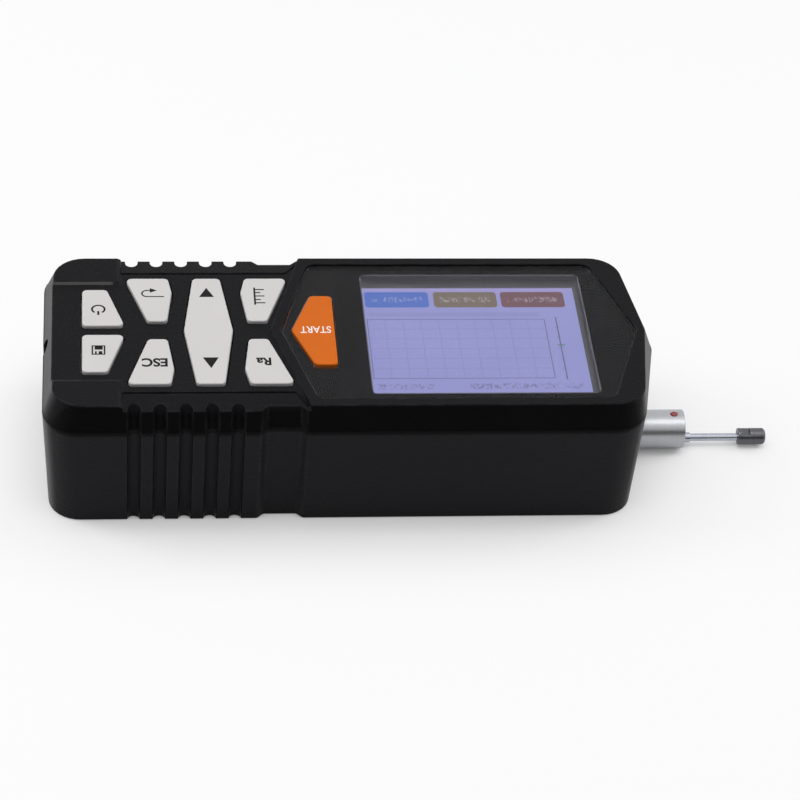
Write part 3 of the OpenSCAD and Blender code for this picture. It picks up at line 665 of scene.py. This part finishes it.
def lettering(name, words, box, body, finish=DARK_INK, slot="dark_plastic", weight=0.03):
    """Adds words printed on a key top to fill a box, read from the far side of the housing."""
    text = bpy.data.curves.new(name, "FONT")
    text.body = words
    text.extrude = mm(PRINT_T)
    text.offset = weight
    source = bpy.data.objects.new(name, text)
    scene.collection.objects.link(source)
    mesh = plain_mesh(source)
    xs = [vert.co.x for vert in mesh.vertices]
    ys = [vert.co.y for vert in mesh.vertices]
    x0, x1, y0, y1 = box
    centre = Matrix.Translation((-(min(xs) + max(xs)) / 2, -(min(ys) + max(ys)) / 2, 0))
    wide = mm(x1 - x0) / (max(xs) - min(xs))
    high = mm(y1 - y0) / (max(ys) - min(ys))
    size = Matrix.Diagonal((wide, high, 0.5, 1))
    turn = Matrix.Rotation(math.pi, 4, "Z")
    top = mm(KEY_TOP - PRINT_SINK + PRINT_T / 2)
    place = Matrix.Translation((mm(x0 + x1) / 2, mm(y0 + y1) / 2, top))
    mesh.transform(place @ turn @ size @ centre)
    dress(mesh, finish)
    new_piece(name, mesh, body, slot)


def box_outline(x0, x1, y0, y1):
    """The outline of an upright rectangle."""
    return [(x0, y0), (x1, y0), (x1, y1), (x0, y1)]


def arc_band(centre, radius, width, start, end, steps=24):
    """The outline of a curved stroke from one angle to another, in degrees."""
    rims = []
    for reach in (radius + width / 2, radius - width / 2):
        rim = []
        for step in range(steps + 1):
            angle = math.radians(start + (end - start) * step / steps)
            rim.append((centre[0] + reach * math.cos(angle), centre[1] + reach * math.sin(angle)))
        rims.append(rim)
    return rims[0] + rims[1][::-1]


# Housing, keys and lens

soften("lower_shell", "housing", "black_plastic", SHELL, 0.4)
soften("upper_shell", "housing", "black_plastic", SHELL, 0.27)
for key in ("power", "save", "enter", "escape", "units", "parameter"):
    soften(key + "_key", key + "_key", "white_key", WHITE_KEY, 0.32, 4, PRINT_SINK)
soften("arrow_rocker", "arrow_rocker", "white_key", WHITE_KEY, 0.35, 4, PRINT_SINK)
soften("start_key", "start_key", "orange_key", ORANGE_KEY, 0.35, 4, PRINT_SINK)

lens_hole = rounded_outline(START_HOLE, 1.5)
lens_rim = rounded_outline(LENS_OUTLINE, 2.6)
backing = plate([lens_rim, lens_hole, rounded_outline(WINDOW, 1.6)], LENS_Z, LENS_Z + PRINT_T)
dress(backing, lens_print())
new_piece("lens_print", backing, "housing", "lens", "window_lens")
clear = plate([lens_rim, lens_hole], LENS_Z + PRINT_T + LENS_GAP, LENS_Z + LENS_T, 0.12)
dress(clear, clear_acrylic())
smooth_faces(clear)
new_piece("lens_clear", level_shading(clear), "housing", "lens", "window_lens")

gasket = plate([WINDOW, FOAM_HOLE], DISPLAY_TOP + FOAM_GAP, LENS_Z - FOAM_GAP)
dress(gasket, GREY_FOAM)
new_piece("screen_gasket", gasket, "housing", "dark_plastic")

# Key signs, read from the far side

sign("power_sign", [
    [arc_band((-59.95, 8.05), 1.5, 0.46, -55, 235)],
    [box_outline(-60.2, -59.7, 5.8, 7.3)],
], "power_key")
sign("save_sign", [
    [box_outline(-61.55, -58.35, -9.4, -5.9), box_outline(-61.2, -58.7, -9.05, -6.25)],
    [box_outline(-60.85, -58.95, -7.5, -6.0)],
    [box_outline(-60.75, -60.35, -9.2, -8.1)],
    [box_outline(-59.9, -59.05, -9.2, -8.1)],
], "save_key")
sign("enter_sign", [
    [box_outline(-48.34, -44.25, 12.81, 13.15)],
    [arc_band((-48.3, 14.2), 1.22, 0.36, 90, 270)],
    [box_outline(-48.34, -47.4, 15.25, 15.59)],
    [[(-47.6, 14.55), (-45.9, 15.42), (-47.6, 16.3)]],
], "enter_key")
ruler = [[box_outline(-22.72, -22.3, 9.7, 16.5)]]
for y, x in ((15.7, -20.2), (14.5, -21.1), (13.15, -20.15), (11.75, -21.1), (10.45, -20.05)):
    ruler.append([box_outline(-22.35, x, y - 0.19, y + 0.19)])
sign("units_sign", ruler, "units_key")
sign("arrow_far", [[[(-35.85, 12.8), (-32.3, 12.8), (-34.05, 16.4)]]], "arrow_rocker")
sign("arrow_near", [[[(-35.65, -10.6), (-33.8, -14.6), (-31.95, -10.6)]]], "arrow_rocker")
lettering("escape_sign", "ESC", (-49.9, -43.9, -14.0, -10.8), "escape_key")
lettering("parameter_sign", "Ra", (-23.2, -19.7, -13.6, -10.7), "parameter_key")
lettering("start_sign", "START", (-12.2, -4.95, -1.4, 1.2), "start_key", WHITE_INK, "white_key", 0.01)

# Pickup

soften("pickup_barrel", "pickup", "aluminium", BARREL, 0.18)
soften("skid_head", "pickup", "gunmetal", GUNMETAL, 0.1)
soften("probe_tube", "pickup", "steel", BRIGHT_STEEL, 0.05, 2)
soften("index_dot", "pickup", "red_lacquer", red_lacquer(), 0.3)
soften("pickup_socket", "pickup", "dark_plastic", DARK_PLASTIC, 0.25)
collar = rod_mesh(*COLLAR_X, COLLAR_D, TUBE_Z)
dress(collar, BRIGHT_STEEL)
smooth_faces(collar)
new_piece("tube_collar", collar, "pickup", "steel")


# Screws and lead screw, made by geometry nodes


class Growth:
    """A geometry node tree with named inputs, ending in real geometry with its material."""

    def __init__(self, name, sizes):
        self.tree = bpy.data.node_groups.new(name, "GeometryNodeTree")
        face = self.tree.interface
        face.new_socket("Geometry", in_out="INPUT", socket_type="NodeSocketGeometry")
        face.new_socket("Geometry", in_out="OUTPUT", socket_type="NodeSocketGeometry")
        self.keys = {}
        for size, kind in sizes.items():
            made = face.new_socket(size, in_out="INPUT", socket_type=kind)
            self.keys[size] = made.identifier
        self.start = self.tree.nodes.new("NodeGroupInput")

    def size(self, name):
        """The socket of a named input."""
        return self.start.outputs[name]

    def node(self, kind, settings=None, inputs=None, out=0):
        """Adds a node, sets its settings and sockets, and returns one output socket."""
        made = self.tree.nodes.new(kind)
        for name, value in (settings or {}).items():
            setattr(made, name, value)
        for key, value in (inputs or {}).items():
            sources = value if isinstance(value, list) else [value]
            for source in sources:
                if isinstance(source, bpy.types.NodeSocket):
                    self.tree.links.new(source, made.inputs[key])
                else:
                    made.inputs[key].default_value = source
        return made.outputs[out]

    def maths(self, operation, first, second):
        return self.node("ShaderNodeMath", {"operation": operation}, {0: first, 1: second})

    def vector(self, x, y, z):
        return self.node("ShaderNodeCombineXYZ", {}, {0: x, 1: y, 2: z})

    def finish(self, geometry, material):
        """Ends the tree: instances made real, then the material."""
        real = self.node("GeometryNodeRealizeInstances", {}, {0: geometry})
        dressed = self.node("GeometryNodeSetMaterial", {}, {"Geometry": real, "Material": material})
        end = self.tree.nodes.new("NodeGroupOutput")
        self.tree.links.new(dressed, end.inputs[0])

    def grow(self, points, values):
        """Runs the tree on some points, in millimetres, and returns a plain mesh."""
        mesh = bpy.data.meshes.new("points")
        mesh.from_pydata([[mm(axis) for axis in point] for point in points], [], [])
        source = bpy.data.objects.new("points", mesh)
        scene.collection.objects.link(source)
        growth = source.modifiers.new("growth", "NODES")
        growth.node_group = self.tree
        for name, value in values.items():
            growth[self.keys[name]] = value
        return plain_mesh(source)


def screw_tree():
    """Pan-head screws with a cross recess, one on each point: head below the point, shank above."""
    number, turn = "NodeSocketFloat", "NodeSocketVector"
    tree = Growth("cross_screws", {
        "Head Diameter": number,
        "Head Height": number,
        "Shank Diameter": number,
        "Shank Length": number,
        "Turn": turn,
    })
    head_h = tree.size("Head Height")
    head_r = tree.maths("MULTIPLY", tree.size("Head Diameter"), 0.5)
    shank_r = tree.maths("MULTIPLY", tree.size("Shank Diameter"), 0.5)
    shank_l = tree.size("Shank Length")
    crown_r = tree.maths("MULTIPLY", head_r, 0.82)
    head = tree.node("GeometryNodeMeshCone", {}, {
        "Vertices": 32, "Radius Top": head_r, "Radius Bottom": crown_r, "Depth": head_h,
    })
    drop = tree.vector(0.0, 0.0, tree.maths("MULTIPLY", head_h, -1.0))
    head = tree.node("GeometryNodeTransform", {}, {0: head, "Translation": drop})
    slot_l = tree.maths("MULTIPLY", head_r, 1.15)
    slot_w = tree.maths("MULTIPLY", head_r, 0.24)
    for length, width, depth in ((slot_l, slot_w, -0.95), (slot_w, slot_l, -0.98)):
        cube = tree.node("GeometryNodeMeshCube", {}, {"Size": tree.vector(length, width, head_h)})
        lift = tree.vector(0.0, 0.0, tree.maths("MULTIPLY", head_h, depth))
        cut = tree.node("GeometryNodeTransform", {}, {0: cube, "Translation": lift})
        head = tree.node("GeometryNodeMeshBoolean", {"operation": "DIFFERENCE"}, {
            "Mesh 1": head, "Mesh 2": cut,
        })
    shank = tree.node("GeometryNodeMeshCylinder", {}, {
        "Vertices": 20, "Radius": shank_r, "Depth": shank_l,
    })
    lift = tree.vector(0.0, 0.0, tree.maths("MULTIPLY", shank_l, 0.499))
    shank = tree.node("GeometryNodeTransform", {}, {0: shank, "Translation": lift})
    screw = tree.node("GeometryNodeJoinGeometry", {}, {0: [head, shank]})
    spread = tree.node("GeometryNodeInstanceOnPoints", {}, {
        "Points": tree.start.outputs[0], "Instance": screw, "Rotation": tree.size("Turn"),
    })
    tree.finish(spread, PLATED)
    return tree


def both_sides(points):
    """Points on the far side and their mirror images."""
    return [(x, side * y, z) for x, y, z in points for side in (1, -1)]


SCREWS = screw_tree()
DOWN = (0.0, 0.0, 0.0)
UP = (math.pi, 0.0, 0.0)
INWARD = (0.0, -math.pi / 2, 0.0)
# For each set: points, head diameter and height, shank diameter and length, and turn
screw_sets = {
    "case_screws": ([(-64, 20.5, 24.0), (62.7, 17, 24.0)], 4.6, 2.0, 2.5, 10.0, DOWN),
    "board_screws": ([(-48, 24.19, 27.4), (-0.5, 24.19, 27.4)], 3.8, 1.6, 2.0, 5.6, DOWN),
    "clip_screws": ([(-56, 19.5, 5.2)], 3.4, 1.6, 2.0, 3.0, UP),
    "drive_screws": ([(-9, 14, 8.0), (53, 14, 8.0)], 3.8, 1.6, 2.0, 5.4, UP),
    "gearbox_screws": ([(-3, 4.6, DRIVE_Z + 3.5)], 2.8, 1.2, 1.6, 6.8, INWARD),
}
for node, (spots, head_d, head_h, shank_d, shank_l, turn) in screw_sets.items():
    mesh = SCREWS.grow(both_sides(spots), {
        "Head Diameter": mm(head_d),
        "Head Height": mm(head_h),
        "Shank Diameter": mm(shank_d),
        "Shank Length": mm(shank_l),
        "Turn": turn,
    })
    smooth_faces(mesh)
    new_piece(node + "_cross", mesh, "housing", "steel", node)


def thread_tree():
    """The threaded length of a lead screw, along X from a point: a core and a helical ridge."""
    number = "NodeSocketFloat"
    tree = Growth("lead_screw_thread", {
        "Thread Length": number,
        "Pitch": number,
        "Outer Diameter": number,
        "Core Diameter": number,
    })
    length = tree.size("Thread Length")
    outer = tree.maths("MULTIPLY", tree.size("Outer Diameter"), 0.5)
    core = tree.maths("MULTIPLY", tree.size("Core Diameter"), 0.5)
    middle = tree.maths("MULTIPLY", tree.maths("ADD", outer, core), 0.5)
    turns = tree.maths("DIVIDE", length, tree.size("Pitch"))
    helix = tree.node("GeometryNodeCurveSpiral", {}, {
        "Resolution": 28,
        "Rotations": turns,
        "Start Radius": middle,
        "End Radius": middle,
        "Height": length,
    })
    depth = tree.maths("SUBTRACT", outer, core)
    ridge = tree.node("GeometryNodeCurvePrimitiveCircle", {}, {
        "Resolution": 6, "Radius": tree.maths("MULTIPLY", depth, 0.5),
    })
    thread = tree.node("GeometryNodeCurveToMesh", {}, {
        "Curve": helix, "Profile Curve": ridge, "Fill Caps": True,
    })
    rod = tree.node("GeometryNodeMeshCylinder", {}, {"Vertices": 28, "Radius": core, "Depth": length})
    lift = tree.vector(0.0, 0.0, tree.maths("MULTIPLY", length, 0.5))
    rod = tree.node("GeometryNodeTransform", {}, {0: rod, "Translation": lift})
    screw = tree.node("GeometryNodeJoinGeometry", {}, {0: [thread, rod]})
    along = (0.0, math.pi / 2, 0.0)
    spread = tree.node("GeometryNodeInstanceOnPoints", {}, {
        "Points": tree.start.outputs[0], "Instance": screw, "Rotation": along,
    })
    tree.finish(spread, PLATED)
    return tree


thread = thread_tree().grow([(-2.6, 0, DRIVE_Z)], {
    "Thread Length": mm(49.2),
    "Pitch": mm(2.0),
    "Outer Diameter": mm(4.0),
    "Core Diameter": mm(2.9),
})
smooth_faces(thread)
new_piece("lead_screw_thread", thread, "lead_screw", "steel", "lead_screw")
journal = rod_mesh(-11, 49.6, 2.5, DRIVE_Z)
dress(journal, BRIGHT_STEEL)
smooth_faces(journal)
new_piece("lead_screw_journal", journal, "lead_screw", "steel", "lead_screw")

# CAD nodes that keep their own shape

carried = {
    lit_screen(): ["display_panel"],
    DARK_PLASTIC: ["display_tray", "tact_switches", "buzzer", "charge_jack", "limit_switches", "carriage",
                   "pickup_plug"],
    CHIP_PLASTIC: ["chips"],
    solder_mask(): ["main_board"],
    PLATED: ["battery_clip", "drive_motor", "pivot_pin"],
    BRIGHT_STEEL: ["guide_rods", "stylus_arm"],
    BRASS: ["threaded_inserts", "screw_bushes", "drive_nut", "rod_bushes"],
    shrink_wrap(): ["battery_pack"],
    CAST: ["drive_frame", "motor_gearbox"],
    wound_wire(): ["sensor_coil"],
    STONE: ["stylus_tip"],
}
for finish, nodes in carried.items():
    for node in nodes:
        dress(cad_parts[node].data, finish)


# Stage, light and camera


def stage_floor():
    """A pale floor that looks white and still takes the part's soft shadow."""
    bpy.ops.mesh.primitive_plane_add(size=6, location=(0, 0, -0.00005))
    floor = bpy.context.object
    floor.name = "floor"
    look = Finish("pale_floor")
    paint = look.node("ShaderNodeBsdfDiffuse", {}, {"Color": (0.9, 0.9, 0.9, 1.0)})
    white = look.node("ShaderNodeEmission", {}, {"Color": (1.0, 1.0, 1.0, 1.0), "Strength": 1.0})
    open_sky = look.node("ShaderNodeAmbientOcclusion", {"samples": 8}, {"Distance": 0.03}, "AO")
    x, y, _ = look.axes()
    far = look.ramp((x * x + y * y) ** 0.5, 180, 700)
    share = look.seen() * (open_sky * 0.78 | far)
    blend = look.node("ShaderNodeMixShader", {}, {0: share, 1: paint, 2: white})
    look.node("ShaderNodeOutputMaterial", {}, {"Surface": blend})
    floor.data.materials.append(look.material)


def front_flag():
    """A dark cloth behind the camera, which keeps the near band of the housing dark."""
    bpy.ops.mesh.primitive_plane_add(size=1, location=(0, -1.3, 0.4), rotation=(math.pi / 2, 0, 0))
    flag = bpy.context.object
    flag.name = "front_flag"
    flag.scale = (3.0, 0.8, 1.0)
    flag.visible_camera = False
    look = Finish("flag_cloth")
    weave = look.noise(400, 2)
    look.surface({
        "Base Color": look.mix(weave, (0.012, 0.012, 0.013, 1.0), (0.03, 0.03, 0.03, 1.0)),
        "Roughness": 0.9,
        "Specular IOR Level": 0.0,
    })
    flag.data.materials.append(look.material)


def soft_light(name, place, aim, size, power):
    """A softbox at a place, turned to a point, with its width and height."""
    lamp = bpy.data.lights.new(name, "AREA")
    lamp.shape = "RECTANGLE"
    lamp.size, lamp.size_y = size
    lamp.energy = power
    box = bpy.data.objects.new(name, lamp)
    box.location = place
    box.rotation_euler = (Vector(aim) - Vector(place)).to_track_quat("-Z", "Y").to_euler()
    scene.collection.objects.link(box)


def studio_world():
    """Even grey light all round, which is seen as white."""
    world = bpy.data.worlds.new("studio")
    scene.world = world
    world.use_nodes = True
    look = Nodes(world.node_tree)
    tone = look.mix(look.seen(), (0.42, 0.42, 0.43, 1.0), (1.0, 1.0, 1.0, 1.0))
    light = look.node("ShaderNodeBackground", {}, {"Color": tone, "Strength": 1.0})
    look.node("ShaderNodeOutputWorld", {}, {"Surface": light})


def camera_in_place():
    """The camera at the photograph's viewing angle."""
    lens = bpy.data.cameras.new("camera")
    lens.lens = 133.87
    lens.sensor_width = 36.0
    lens.clip_start = 0.01
    lens.clip_end = 20.0
    camera = bpy.data.objects.new("camera", lens)
    right = Vector((0.99495179, -0.0808763, 0.05941348))
    up = Vector((0.00508045, 0.63187286, 0.7750554))
    back = Vector((-0.10022538, -0.77084091, 0.62909392))
    turn = Matrix((right, up, back)).transposed().to_4x4()
    camera.matrix_world = Matrix.Translation((-0.059575, -0.557243, 0.469448)) @ turn
    scene.collection.objects.link(camera)
    scene.camera = camera


stage_floor()
front_flag()
studio_world()
soft_light("overhead", (0.0, -0.12, 0.8), (0.01, 0, 0.02), (0.36, 0.3), 1.75)
soft_light("left_box", (-0.62, 0.12, 0.56), (0, 0, 0.02), (0.35, 0.3), 2.4)
soft_light("right_box", (0.66, 0.12, 0.56), (0.05, 0, 0.02), (0.35, 0.3), 1.6)
camera_in_place()
